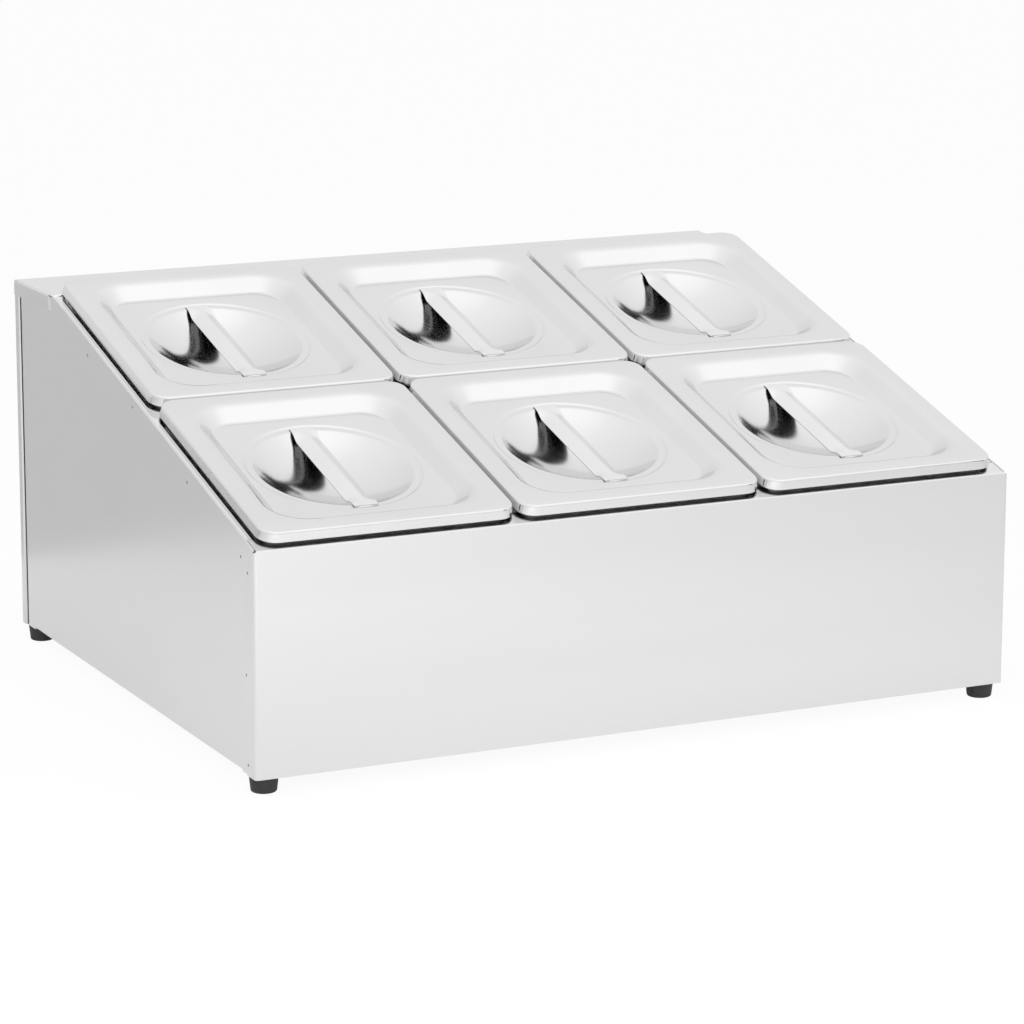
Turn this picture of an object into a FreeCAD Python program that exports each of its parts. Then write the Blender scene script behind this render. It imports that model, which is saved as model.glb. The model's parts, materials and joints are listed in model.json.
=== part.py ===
import FreeCAD, Part
import math
import os

os.makedirs("parts", exist_ok=True)
Vec = FreeCAD.Vector

# A sloped counter-top holder for six lidded food pans of the sixth size, in two rows of three.
# Millimetres. +X is the user's right, +Y the back, +Z up.
# The origin is on the table, under the middle of the holder.

# Pan and lid grid, measured along the slope
columns = ("left", "centre", "right")
rows = ("front", "rear")
lid_width = 162.0
lid_length = 176.0
lid_gap_across = 1.4
lid_gap_along = 0.5
side_margin = 6.8
front_margin = 4.8
rear_overhang = 6.6
slope_angle = 15.8

# Holder body, folded from sheet
sheet = 1.0
bend_radius = 2.4
corner_bend_radius = 1.4
shelf_depth = 71.0
pan_floor_clearance = 3.0
front_return = 13.0
return_clip = 8.0
bottom_flange = 22.0
side_flange = 20.0
rear_flange = 12.0
rear_flange_relief = 12.0
back_return = 7.0
back_inner_flange = 12.0
groove_gap = 2.4
shelf_flange = 10.0
shelf_tab_height = 10.0
shelf_tab_length = 66.0
seam_gap = 0.4

# Rails and crossbar under the pan rims
pan_clearance = 1.5
rail_leg = 15.0
rail_bend_radius = 1.3
crossbar_leg = 12.0

# Pans, drawn from thinner sheet
pan_sheet = 0.8
pan_depth = 150.0
pan_rim_width = 8.5
pan_rim_height = 7.1
pan_taper = 7.0
pan_corner_radius = 22.0
pan_rim_bend = 4.0
pan_floor_bend = 12.0

# Lids, pressed from the same sheet
lid_sheet = 0.8
lid_fit_clearance = 3.2
lid_corner_radius = 11.5
lid_skirt = 6.0
lid_flare = 1.2
lid_edge_radius = 1.6
recess_rim_width = 14.0
recess_run = 10.0
recess_depth = 8.0
recess_corner_radius = 26.0
recess_bend = 10.0
dish_margin = 7.5
dish_depth = 16.0
dish_lip = 8.0

# Handle straps across the dishes
strap_width = 15.5
strap_flat_width = 3.0
strap_sheet = 1.0
strap_edge_drop = 1.4
strap_bend_radius = 10.0
strap_below_floor = 0.2
strap_weld_gap = 0.4

# Rubber feet and their hardware
foot_height = 10.0
foot_top_radius = 8.7
foot_base_radius = 7.6
foot_edge_radius = 1.4
foot_inset_across = 9.6
foot_inset_along = 11.5
foot_recess_radius = 4.8
foot_recess_depth = 5.0
screw_radius = 2.0
screw_head_radius = 3.5
screw_head_height = 2.2
screw_cross_length = 4.2
screw_cross_width = 0.9
screw_cross_depth = 1.1
screw_proud = 1.5
screw_clearance = 0.3
washer_radius = 4.5
washer_thickness = 0.8
nut_width = 7.0
nut_height = 3.2

# One overrun for every cut
overrun = 5.0

# What follows from the sizes above
slope_sin = math.sin(math.radians(slope_angle))
slope_cos = math.cos(math.radians(slope_angle))
column_pitch = lid_width + lid_gap_across
row_pitch = lid_length + lid_gap_along
grid_width = (len(columns) - 1) * column_pitch + lid_width
grid_length = (len(rows) - 1) * row_pitch + lid_length
body_width = grid_width + 2 * side_margin
slope_length = front_margin + grid_length - rear_overhang
body_depth = slope_length * slope_cos + shelf_depth

pan_inset = lid_sheet + lid_fit_clearance
pan_half = (lid_width / 2 - pan_inset, lid_length / 2 - pan_inset)
pan_mouth = (pan_half[0] - pan_rim_width, pan_half[1] - pan_rim_width)
pan_floor = (pan_mouth[0] - pan_taper, pan_mouth[1] - pan_taper)
pan_floor_level = pan_rim_height - pan_depth
front_pan_corner = front_margin + lid_length / 2 - pan_floor[1]
front_height = pan_floor_clearance - pan_floor_level * slope_cos - front_pan_corner * slope_sin

bottom_level = foot_height
front_top_level = bottom_level + front_height
shelf_level = front_top_level + slope_length * slope_sin
front_face = -body_depth / 2
back_face = body_depth / 2
shelf_edge = back_face - shelf_depth
half_width = body_width / 2
side_face = half_width - sheet
side_inner_face = side_face - sheet
side_front_edge = front_face + bend_radius + seam_gap
return_face = back_face - back_return
side_rear_face = return_face - groove_gap
side_top_level = shelf_level - sheet - seam_gap
pan_wall = (pan_mouth[0] + pan_sheet + pan_clearance, pan_mouth[1] + pan_sheet + pan_clearance)
front_flange = front_margin + lid_length / 2 - pan_wall[1]
rail_start = front_flange + seam_gap
rail_end = slope_length - bend_radius - seam_gap
rail_inner_edge = (len(columns) - 1) * column_pitch / 2 + pan_wall[0]
crossbar_width = row_pitch - 2 * pan_wall[1]
row_seam = front_margin + lid_length + lid_gap_along / 2

lid_top = pan_rim_height + lid_sheet
recess_mouth = (lid_width / 2 - recess_rim_width, lid_length / 2 - recess_rim_width)
recess_level = lid_top - recess_depth
recess_floor = (recess_mouth[0] - recess_run, recess_mouth[1] - recess_run)
dish_radius = min(recess_floor) - dish_margin
strap_top = recess_level - strap_below_floor


def save(shape, node):
    shape.exportStep("parts/" + node + ".step")


def turned(shape, x_axis, y_axis, z_axis, base):
    """The shape with its own X, Y and Z axes laid along the given directions, at base."""
    moved = shape.copy()
    rotation = FreeCAD.Rotation(Vec(*x_axis), Vec(*y_axis), Vec(*z_axis), "ZXY")
    moved.Placement = FreeCAD.Placement(Vec(*base), rotation)
    return moved


def along_width(profile_solid, start):
    """A solid drawn in Y and Z and extruded, laid along +X from start."""
    return turned(profile_solid, (0, 1, 0), (0, 0, 1), (1, 0, 0), (start, 0, 0))


def along_depth(profile_solid, start):
    """A solid drawn in X and Z and extruded, laid along -Y from start."""
    return turned(profile_solid, (1, 0, 0), (0, 0, 1), (0, -1, 0), (0, start, 0))


def on_slope(shape, across, along):
    """A shape drawn across, along and square to the slope, laid on the holder's sloping plane."""
    moved = shape.copy()
    tilt = FreeCAD.Rotation(Vec(1, 0, 0), slope_angle)
    start = Vec(0, front_face, front_top_level) + tilt.multVec(Vec(across, along, 0))
    moved.Placement = FreeCAD.Placement(start, tilt).multiply(shape.Placement)
    return moved


def mirrored(shape):
    return shape.mirror(Vec(0, 0, 0), Vec(1, 0, 0))


def block(low, high):
    size = [high[axis] - low[axis] for axis in range(3)]
    return Part.makeBox(size[0], size[1], size[2], Vec(*low))


def path_edges(points, radii):
    """Straight edges through 2D points, with an arc of the given radius at each inner point."""
    edges = []
    start = points[0]
    for before, corner, after, radius in zip(points, points[1:], points[2:], radii):
        into = (corner - before).normalize()
        out = (after - corner).normalize()
        half_turn = into.getAngle(out) / 2
        reach = radius * math.tan(half_turn)
        first = corner - into * reach
        last = corner + out * reach
        to_centre = (out - into).normalize()
        centre = corner + to_centre * (radius / math.cos(half_turn))
        middle = centre - to_centre * radius
        edges.append(Part.LineSegment(start, first).toShape())
        edges.append(Part.Arc(first, middle, last).toShape())
        start = last
    edges.append(Part.LineSegment(start, points[-1]).toShape())
    return edges


def offset_points(points, distance):
    """The 2D points of the line that runs beside a folded line, on its left."""
    def left_of(a, b):
        step = (b - a).normalize()
        return Vec(-step.y, step.x, 0)

    shifted = [points[0] + left_of(points[0], points[1]) * distance]
    for before, corner, after in zip(points, points[1:], points[2:]):
        one = left_of(before, corner)
        two = left_of(corner, after)
        bisector = (one + two).normalize()
        shifted.append(corner + bisector * (distance / bisector.dot(one)))
    shifted.append(points[-1] + left_of(points[-2], points[-1]) * distance)
    return shifted


def folded_sheet(outline, thickness, radius, length):
    """Sheet with its outer face on a folded outline, its thickness to the left, every turn to the left."""
    outer = [Vec(a, b, 0) for a, b in outline]
    inner = offset_points(outer, thickness)
    folds = len(outer) - 2
    edges = path_edges(outer, [radius] * folds)
    edges.append(Part.LineSegment(outer[-1], inner[-1]).toShape())
    edges += path_edges(inner[::-1], [radius - thickness] * folds)
    edges.append(Part.LineSegment(inner[0], outer[0]).toShape())
    face = Part.Face(Part.Wire(Part.__sortEdges__(edges)))
    return face.extrude(Vec(0, 0, length))


def rounded_block(outline, radius, length):
    """A solid with the folded outline as its rounded edge, closed straight from end to start."""
    points = [Vec(a, b, 0) for a, b in outline]
    edges = path_edges(points, [radius] * (len(points) - 2))
    edges.append(Part.LineSegment(points[-1], points[0]).toShape())
    return Part.Face(Part.Wire(Part.__sortEdges__(edges))).extrude(Vec(0, 0, length))


def rounded_rectangle(half, radius, level):
    """A wire of four straight edges and four arcs, centred, at the given level."""
    far = radius * math.sqrt(0.5)
    edges = []
    for sx, sy in ((1, 1), (-1, 1), (-1, -1), (1, -1)):
        centre = Vec(sx * (half[0] - radius), sy * (half[1] - radius), level)
        side_end = centre + Vec(sx * radius, 0, 0)
        end_side = centre + Vec(0, sy * radius, 0)
        middle = centre + Vec(sx * far, sy * far, 0)
        first, last = (side_end, end_side) if sx * sy > 0 else (end_side, side_end)
        edges.append(Part.Arc(first, middle, last).toShape())
    wire = []
    for arc, following in zip(edges, edges[1:] + edges[:1]):
        wire.append(arc)
        wire.append(Part.LineSegment(arc.Vertexes[-1].Point, following.Vertexes[0].Point).toShape())
    return Part.Wire(wire)


def rounded_prism(half, radius, low, high):
    return Part.Face(rounded_rectangle(half, radius, low)).extrude(Vec(0, 0, high - low))


def grown(half, distance):
    return (half[0] + distance, half[1] + distance)


def tapered_prism(half, radius, top, base, taper):
    """A rounded block that draws in by the taper, on every side, from its top to its base."""
    low = rounded_rectangle(grown(half, -taper), radius - taper, base)
    return Part.makeLoft([low, rounded_rectangle(half, radius, top)], True, True)


def edges_at(shape, level, inside=None):
    """Edges that lie flat at a level, and within a half size when one is given."""
    found = []
    slack = sheet * 1e-4
    for edge in shape.Edges:
        box = edge.BoundBox
        flat = abs(box.ZMin - level) < slack and abs(box.ZMax - level) < slack
        reach = (max(box.XMax, -box.XMin), max(box.YMax, -box.YMin))
        near = inside is None or max(reach[0] - inside[0], reach[1] - inside[1]) < slack
        if flat and near:
            found.append(edge)
    return found


def ring(outer_radius, inner_radius, low, high):
    outer = Part.makeCylinder(outer_radius, high - low, Vec(0, 0, low))
    inner = Part.makeCylinder(inner_radius, high - low + 2 * overrun, Vec(0, 0, low - overrun))
    return outer.cut(inner)


def foot_places():
    across = half_width - foot_inset_across
    along = body_depth / 2 - foot_inset_along
    return {
        "front_left": Vec(-across, -along, 0),
        "front_right": Vec(across, -along, 0),
        "rear_left": Vec(-across, along, 0),
        "rear_right": Vec(across, along, 0),
    }


def foot_holes():
    low = bottom_level - overrun
    hole = Part.makeCylinder(screw_radius + screw_clearance, sheet + 2 * overrun, Vec(0, 0, low))
    return Part.makeCompound([hole.translated(place) for place in foot_places().values()])


def side_slots(low_y, high_y, top):
    """Room for the two side panels inside another panel's returns."""
    slot = block((-side_face, low_y, bottom_level - overrun), (seam_gap - side_inner_face, high_y, top))
    return Part.makeCompound([slot, mirrored(slot)])


def front_panel():
    rise = (front_face + front_flange * slope_cos, front_top_level + front_flange * slope_sin)
    outline = [rise, (front_face, front_top_level), (front_face, bottom_level)]
    outline.append((front_face + bottom_flange, bottom_level))
    straight = body_width - 2 * bend_radius
    panel = along_width(folded_sheet(outline, sheet, bend_radius, straight), -straight / 2)

    edge = front_face + front_return
    wrap = [(-half_width, edge), (-half_width, front_face), (half_width, front_face), (half_width, edge)]
    returns = folded_sheet(wrap, sheet, bend_radius, front_height)
    returns.translate(Vec(0, 0, bottom_level))
    envelope = along_width(rounded_block(outline, bend_radius, body_width), -half_width)
    # The top of each return is clipped back from the corner, clear of the slope edge.
    clip = [(front_face, front_top_level), (edge, front_top_level - return_clip)]
    clip += [(edge, front_top_level + overrun), (front_face, front_top_level + overrun)]
    clip_face = Part.Face(Part.makePolygon([Vec(a, b, 0) for a, b in clip + clip[:1]]))
    clipped = along_width(clip_face.extrude(Vec(0, 0, body_width)), -half_width)
    low_block = block((-half_width, front_face, bottom_level), (half_width, edge, front_top_level))
    panel = panel.fuse(returns.common(envelope.fuse(low_block.cut(clipped)).cut(clipped)))

    panel = panel.cut(side_slots(side_front_edge, back_face, shelf_level))
    return panel.cut(foot_holes()).removeSplitter()


def left_side_panel():
    front_end = front_face + bottom_flange + seam_gap
    rear_end = back_face - bottom_flange - seam_gap
    wall_end = side_rear_face - corner_bend_radius
    fold = [(-side_face, shelf_level), (-side_face, bottom_level), (side_flange - side_face, bottom_level)]
    bottom = along_depth(folded_sheet(fold, sheet, bend_radius, rear_end - front_end), rear_end)
    wall = block((-side_face, side_front_edge, bottom_level), (-side_inner_face, wall_end, shelf_level))
    wall = wall.cut(block((-half_width, front_end, bottom_level), (0, rear_end, bottom_level + bend_radius)))
    turn = [(rear_flange - side_face, side_rear_face), (-side_face, side_rear_face), (-side_face, front_face)]
    rear = folded_sheet(turn, sheet, corner_bend_radius, shelf_level - bottom_level)
    rear.translate(Vec(0, 0, bottom_level))
    rear = rear.cut(block((-side_inner_face, return_face - back_return, bottom_level),
                          (0, back_face, bottom_level + rear_flange_relief)))
    rear = rear.common(block((-half_width, wall_end - sheet, bottom_level), (0, back_face, shelf_level)))

    slope_at_front = front_top_level + (side_front_edge - front_face) * slope_sin / slope_cos
    slope_end = front_face + (side_top_level - front_top_level) * slope_cos / slope_sin
    outline = [(side_front_edge, bottom_level), (back_face, bottom_level), (back_face, side_top_level)]
    outline += [(slope_end, side_top_level), (side_front_edge, slope_at_front)]
    face = Part.Face(Part.makePolygon([Vec(a, b, 0) for a, b in outline + outline[:1]]))
    envelope = along_width(face.extrude(Vec(0, 0, half_width)), -half_width)
    return wall.fuse([bottom, rear]).common(envelope).removeSplitter()


def back_panel():
    outline = [(back_face - bottom_flange, bottom_level), (back_face, bottom_level), (back_face, shelf_level)]
    outline.append((shelf_edge, shelf_level))
    outline.append((shelf_edge + shelf_flange * slope_sin, shelf_level - shelf_flange * slope_cos))
    straight = body_width - 2 * corner_bend_radius
    panel = along_width(folded_sheet(outline, sheet, bend_radius, straight), -straight / 2)
    envelope = along_width(rounded_block(outline[:4], bend_radius, body_width), -half_width)

    inner = half_width - back_inner_flange
    wrap = [(half_width, return_face), (half_width, back_face)]
    wrap += [(-half_width, back_face), (-half_width, return_face)]
    closed_wrap = [(inner, return_face)] + wrap + [(-inner, return_face)]
    tab_base = shelf_level - shelf_tab_height
    returns = folded_sheet(closed_wrap, sheet, corner_bend_radius, tab_base - bottom_level)
    returns.translate(Vec(0, 0, bottom_level))
    corners = folded_sheet(wrap, sheet, corner_bend_radius, shelf_tab_height)
    corners.translate(Vec(0, 0, tab_base))
    cap = [(half_width, tab_base), (half_width, shelf_level)]
    cap += [(-half_width, shelf_level), (-half_width, tab_base)]
    tabs = along_depth(folded_sheet(cap, sheet, corner_bend_radius, shelf_tab_length), back_face)

    slots = side_slots(front_face, return_face, shelf_level - sheet)
    panel = panel.cut(slots).fuse([piece.common(envelope) for piece in (returns, corners, tabs)])
    return panel.cut(foot_holes()).removeSplitter()


def left_pan_rail():
    profile = [(-rail_inner_edge, 0), (-side_inner_face, 0), (-side_inner_face, -rail_leg)]
    rail = along_depth(folded_sheet(profile, sheet, rail_bend_radius, rail_end - rail_start), rail_end)
    return on_slope(rail, 0, 0)


def row_crossbar():
    half = crossbar_width / 2
    profile = [(half, -crossbar_leg), (half, 0), (-half, 0), (-half, -crossbar_leg)]
    reach = side_inner_face - sheet - seam_gap
    bar = along_width(folded_sheet(profile, sheet, bend_radius, 2 * reach), -reach)
    top_end = rail_inner_edge - seam_gap
    trim = block((top_end, -crossbar_width, -sheet), (half_width, crossbar_width, overrun))
    bar = bar.cut(trim).cut(mirrored(trim))
    return on_slope(bar.removeSplitter(), 0, row_seam)


def pan():
    """One drawn pan, with its rim's underside edge on the slope plane and its middle at the origin."""
    inner_floor = pan_floor_level + pan_sheet
    cavity = tapered_prism(pan_mouth, pan_corner_radius, pan_rim_height, inner_floor, pan_taper)
    cavity = cavity.makeFillet(pan_floor_bend - pan_sheet, edges_at(cavity, inner_floor))
    space = grown(pan_half, overrun)
    above = rounded_prism(space, pan_corner_radius, pan_rim_height, pan_rim_height + overrun)
    cavity = cavity.fuse(above).removeSplitter()
    cavity = cavity.makeFillet(pan_rim_bend, edges_at(cavity, pan_rim_height, pan_mouth))

    rim_base = pan_rim_height - pan_sheet
    body = tapered_prism(grown(pan_mouth, pan_sheet), pan_corner_radius + pan_sheet, rim_base,
                         pan_floor_level, pan_taper)
    body = body.makeFillet(pan_floor_bend, edges_at(body, pan_floor_level))
    corner = lid_corner_radius - pan_inset
    rim = rounded_prism(pan_half, corner, rim_base, pan_rim_height)
    body = body.fuse(rim).removeSplitter()
    body = body.makeFillet(pan_rim_bend - pan_sheet, edges_at(body, rim_base, grown(pan_mouth, pan_sheet)))

    skirt = rounded_prism(pan_half, corner, 0, pan_rim_height)
    skirt = skirt.cut(rounded_prism(grown(pan_half, -pan_sheet), corner - pan_sheet, -overrun, rim_base))
    skirt = skirt.cut(rounded_prism(grown(pan_mouth, pan_rim_bend), pan_corner_radius, -overrun,
                                    pan_rim_height + overrun))
    return body.cut(cavity).fuse(skirt).removeSplitter()


def lid_press():
    """Everything above a lid's upper face: the space over the rim, the recess and the finger dish."""
    recess = tapered_prism(recess_mouth, recess_corner_radius, lid_top, recess_level, recess_run)
    recess = recess.makeFillet(recess_bend, edges_at(recess, recess_level))
    bowl_radius = (dish_radius ** 2 + dish_depth ** 2) / (2 * dish_depth)
    dish_level = recess_level - dish_depth
    bowl = Part.makeSphere(bowl_radius, Vec(0, 0, dish_level + bowl_radius))
    bowl = bowl.common(Part.makeCylinder(dish_radius + overrun, dish_depth, Vec(0, 0, dish_level)))
    above = rounded_prism((lid_width, lid_length), recess_corner_radius, lid_top, lid_top + overrun)
    press = recess.fuse([bowl, above]).removeSplitter()
    press = press.makeFillet(recess_bend, edges_at(press, lid_top, recess_mouth))
    return press.makeFillet(dish_lip, edges_at(press, recess_level, (dish_radius, dish_radius)))


def lid(press):
    """One lid pressed from sheet: the press form lowered by the sheet, less the form itself.
    The skirt flares, so that the lid is widest at its foot."""
    rim = grown((lid_width / 2, lid_length / 2), -lid_flare)
    inner_rim = grown(rim, -lid_sheet)
    corner = lid_corner_radius - lid_flare
    foot_level = lid_top - lid_skirt
    under = press.copy()
    under.translate(Vec(0, 0, -lid_sheet))
    blank = rounded_prism(grown(rim, -lid_sheet / 2), corner - lid_sheet / 2,
                          recess_level - 2 * dish_depth, lid_top)
    pressed = under.common(blank).cut(press)
    skirt = tapered_prism(rim, corner, lid_top, foot_level, -lid_flare)
    skirt = skirt.cut(tapered_prism(inner_rim, corner - lid_sheet, lid_top, foot_level, -lid_flare))
    shape = pressed.fuse(skirt).removeSplitter()
    mouth_edges = edges_at(shape, lid_top, recess_mouth)
    rim_edges = [edge for edge in edges_at(shape, lid_top) if edge not in mouth_edges]
    return shape.makeFillet(lid_edge_radius, rim_edges)


def handle_strap(press):
    """A strap with its long edges bent down, cut at both ends to the dish that it is welded to."""
    half = strap_width / 2
    flat = strap_flat_width / 2
    side = strap_top - strap_edge_drop
    section = [(half, side), (flat, strap_top), (-flat, strap_top), (-half, side)]
    reach = dish_radius + overrun
    strap = along_depth(folded_sheet(section, strap_sheet, strap_bend_radius, 2 * reach), reach)
    return strap.common(press.translated(Vec(0, 0, strap_weld_gap))).removeSplitter()


def foot():
    """A tapered rubber foot with a recess under it for the screw."""
    bore = screw_radius + screw_clearance
    points = [(bore, foot_height), (foot_top_radius, foot_height), (foot_base_radius, 0)]
    points += [(foot_recess_radius, 0), (foot_recess_radius, foot_recess_depth), (bore, foot_recess_depth)]
    wire = Part.makePolygon([Vec(a, 0, b) for a, b in points + points[:1]])
    body = Part.Face(wire).revolve(Vec(0, 0, 0), Vec(0, 0, 1), 360)
    base_edges = [edge for edge in edges_at(body, 0) if edge.BoundBox.XMax > foot_recess_radius + seam_gap]
    return body.makeFillet(foot_edge_radius, base_edges)


def foot_washer():
    return ring(washer_radius, screw_radius + screw_clearance / 2,
                foot_recess_depth - washer_thickness, foot_recess_depth)


def foot_screw():
    seat = foot_recess_depth - washer_thickness
    head = Part.makeCylinder(screw_head_radius, screw_head_height, Vec(0, 0, seat - screw_head_height))
    head = head.makeFillet(screw_head_height / 2, edges_at(head, seat - screw_head_height))
    long = screw_cross_length / 2
    narrow = screw_cross_width / 2
    depth = seat - screw_head_height + screw_cross_depth
    for across, along in ((long, narrow), (narrow, long)):
        head = head.cut(block((-across, -along, -overrun), (across, along, depth)))
    tip = bottom_level + sheet + nut_height + screw_proud
    return head.fuse(Part.makeCylinder(screw_radius, tip - seat, Vec(0, 0, seat)))


def foot_nut():
    corner = nut_width / math.sqrt(3)
    turns = [math.pi * k / 3 for k in range(7)]
    points = [Vec(corner * math.cos(turn), corner * math.sin(turn), 0) for turn in turns]
    hexagon = Part.Face(Part.makePolygon(points)).extrude(Vec(0, 0, nut_height))
    hexagon.translate(Vec(0, 0, bottom_level + sheet))
    bore = Part.makeCylinder(screw_radius + screw_clearance / 2, nut_height + 2 * overrun,
                             Vec(0, 0, bottom_level + sheet - overrun))
    return hexagon.cut(bore)


def save_holder():
    save(front_panel(), "front_panel")
    save(back_panel(), "back_panel")
    for node, shape in (("side_panel", left_side_panel()), ("pan_rail", left_pan_rail())):
        save(shape, "left_" + node)
        save(mirrored(shape), "right_" + node)
    save(row_crossbar(), "row_crossbar")


def save_feet():
    places = foot_places()
    for name, place in places.items():
        save(foot().translated(place), name + "_foot")
    hardware = {"foot_screws": foot_screw(), "foot_washers": foot_washer(), "foot_nuts": foot_nut()}
    for node, shape in hardware.items():
        save(Part.makeCompound([shape.translated(place) for place in places.values()]), node)


def save_pans():
    press = lid_press()
    shapes = {"pan": pan(), "lid": lid(press), "handle": handle_strap(press)}
    for row_index, row in enumerate(rows):
        along = front_margin + lid_length / 2 + row_index * row_pitch
        for column_index, column in enumerate(columns):
            across = (column_index - (len(columns) - 1) / 2) * column_pitch
            for node, shape in shapes.items():
                save(on_slope(shape, across, along), row + "_" + column + "_" + node)


def main():
    save_holder()
    save_feet()
    save_pans()
    print("holder %.1f wide, %.1f deep, front %.1f, back %.1f above the feet"
          % (body_width, body_depth, front_height, shelf_level - bottom_level))


main()
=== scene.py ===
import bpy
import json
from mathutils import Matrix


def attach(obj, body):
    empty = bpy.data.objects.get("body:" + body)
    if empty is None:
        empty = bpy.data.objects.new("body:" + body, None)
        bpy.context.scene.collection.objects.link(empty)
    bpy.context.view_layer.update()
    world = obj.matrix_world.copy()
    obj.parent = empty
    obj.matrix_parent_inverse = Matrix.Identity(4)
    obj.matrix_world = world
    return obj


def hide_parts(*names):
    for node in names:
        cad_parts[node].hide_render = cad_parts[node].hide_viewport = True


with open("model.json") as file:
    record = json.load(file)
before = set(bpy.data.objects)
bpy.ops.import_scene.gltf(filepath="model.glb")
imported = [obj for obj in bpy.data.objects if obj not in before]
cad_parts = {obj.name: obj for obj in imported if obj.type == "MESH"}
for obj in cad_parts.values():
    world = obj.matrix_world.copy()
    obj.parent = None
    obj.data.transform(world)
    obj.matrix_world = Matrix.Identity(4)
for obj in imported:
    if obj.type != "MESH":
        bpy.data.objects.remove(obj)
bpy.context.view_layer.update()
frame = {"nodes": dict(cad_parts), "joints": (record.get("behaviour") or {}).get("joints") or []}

import json
import math

import bpy
from mathutils import Matrix, Vector

bl_info = {
    "name": "Gastronorm Pan Holder",
    "version": (1, 0, 0),
    "blender": (4, 5, 0),
    "location": "View3D > Sidebar > Pan Holder",
    "description": "Dresses a sloped sheet-steel holder with its lidded food pans",
    "category": "Object",
}

MM = 0.001
# Which way a sheet is ground: across the holder or from its front to its back
ACROSS, ALONG = 0, 1
ROWS = ("front", "rear")
COLUMNS = ("left", "centre", "right")
PLACES = [row + "_" + column for row in ROWS for column in COLUMNS]
NODES = frame["nodes"]

# How finely the pressed pieces are drawn: steps round a lid's corner, along its side, round a bend, across the
# ledge and down the bowl, and along and across a strap
CORNER_STEPS = 12
SIDE_STEPS = 16
BEND_STEPS = 6
LEDGE_STEPS = 8
BOWL_STEPS = 14
STRAP_STATIONS = 48
STRAP_STEPS = 16
EDGE_STEPS = 6

# Places of the welds, in millimetres. They were set one by one, so that they are uneven.
# Along the slope from the front face, and below the slope's edge
SLOPE_SPOTS = ((18.5, 12.3), (105.9, 9.2), (200.2, 5.8), (280.9, 9.2))
# Back from the front face, and up from the front panel's foot
RETURN_SPOTS = ((10.9, 6.6), (12.2, 59.7), (8.7, 120.3))
# Ahead of the back, on the tabs at the shelf's ends, and below the shelf
TAB_TACKS = (57.5, 61.5, 65.5)
TACK_DROP = 5
TACK_SIZE = Vector((0.03, 0.4, 2.2))

# Soft boxes: name, place, target and side in metres, and power in watts
SOFT_BOXES = (("Left soft box", (-1.6, -1.8, 1.8), (0, 0, 0.15), 1.6, 21.5),
              ("Near soft box", (-0.35, -1.05, 0.6), (-0.1, -0.85, 0), 0.4, 3.5),
              ("Top soft box", (0.1, -0.25, 1.0), (0.1, -0.4, 0), 0.5, 2.5))
# How far the floor reaches from the middle, in metres
FLOOR_REACH = 20.0

# The lids lie on a slope, whose normal is the way that they lift.
LIFT = Vector(frame["joints"][0]["axis"]).normalized()
TILT = Matrix.Rotation(math.atan2(-LIFT.y, LIFT.z), 4, "X")
LEVEL = TILT.inverted()


def slope_box(node):
    """A node's lowest and highest corners, measured across, along and square to the slope."""
    points = [LEVEL @ vertex.co for vertex in NODES[node].data.vertices]
    low = Vector(min(point[axis] for point in points) for axis in range(3))
    high = Vector(max(point[axis] for point in points) for axis in range(3))
    return low, high


def world_box(node):
    """A node's lowest and highest corners."""
    points = [vertex.co for vertex in NODES[node].data.vertices]
    return [Vector(pick(point[axis] for point in points) for axis in range(3)) for pick in (min, max)]


def lid_seat(place):
    """The middle of a lid's top, measured across, along and square to the slope."""
    low, high = slope_box(place + "_lid")
    return Vector(((low.x + high.x) / 2, (low.y + high.y) / 2, high.z))


def linear(hex_colour):
    """An sRGB hex colour as linear red, green, blue and alpha."""
    channels = [int(hex_colour[i:i + 2], 16) / 255 for i in (1, 3, 5)]
    return [c / 12.92 if c <= 0.04045 else ((c + 0.055) / 1.055) ** 2.4 for c in channels] + [1.0]


def length(name, description, default, low=0.0, high=1.0):
    return bpy.props.FloatProperty(name=name, description=description, default=default, min=low, max=high,
                                   unit="LENGTH", precision=4)


def colour(name, description, default):
    return bpy.props.FloatVectorProperty(name=name, description=description, default=linear(default), size=4,
                                         min=0.0, max=1.0, subtype="COLOR")


class LidSizes(bpy.types.PropertyGroup):
    """Sizes of one pressed lid"""
    sheet: length("Sheet", "Thickness of the lid's sheet", 0.78 * MM)
    corner: length("Corner", "Radius of the lid's corners seen from above", 11.5 * MM)
    edge: length("Edge", "Radius where the rim turns down into the skirt", 1.6 * MM)
    skirt: length("Skirt", "Height of the down-turned skirt", 6 * MM)
    flare: length("Flare", "How far the skirt spreads from the rim to its foot", 1.2 * MM)
    rim: length("Rim", "Width from the skirt's foot to the mouth of the recess", 14 * MM)
    recess_corner: length("Recess corner", "Corner radius of the recess at its mouth", 26 * MM)
    recess_run: length("Recess run", "Width of the recess's sloping wall, seen from above", 10 * MM)
    recess_depth: length("Recess depth", "Depth of the recess floor below the rim", 8 * MM)
    recess_bend: length("Recess bend", "Radius of the bend at the recess's mouth", 10 * MM)
    foot_bend: length("Foot bend", "Radius of the bend at the recess's floor", 4 * MM)
    ledge: length("Ledge", "Width of the ledge around the dish, on which the strap's ends lie", 4.6 * MM)
    ledge_drop: length("Ledge drop", "Depth of the ledge below the recess floor", 0.9 * MM)
    ledge_step: length("Ledge step", "Width of the rounded step from the floor to the ledge", 2.2 * MM)
    dish_radius: length("Dish radius", "Radius of the round finger dish", 48.6 * MM)
    dish_depth: length("Dish depth", "Depth of the dish below the recess floor", 16 * MM)
    dish_lip: length("Dish lip", "Radius of the lip around the dish", 3 * MM)


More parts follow.
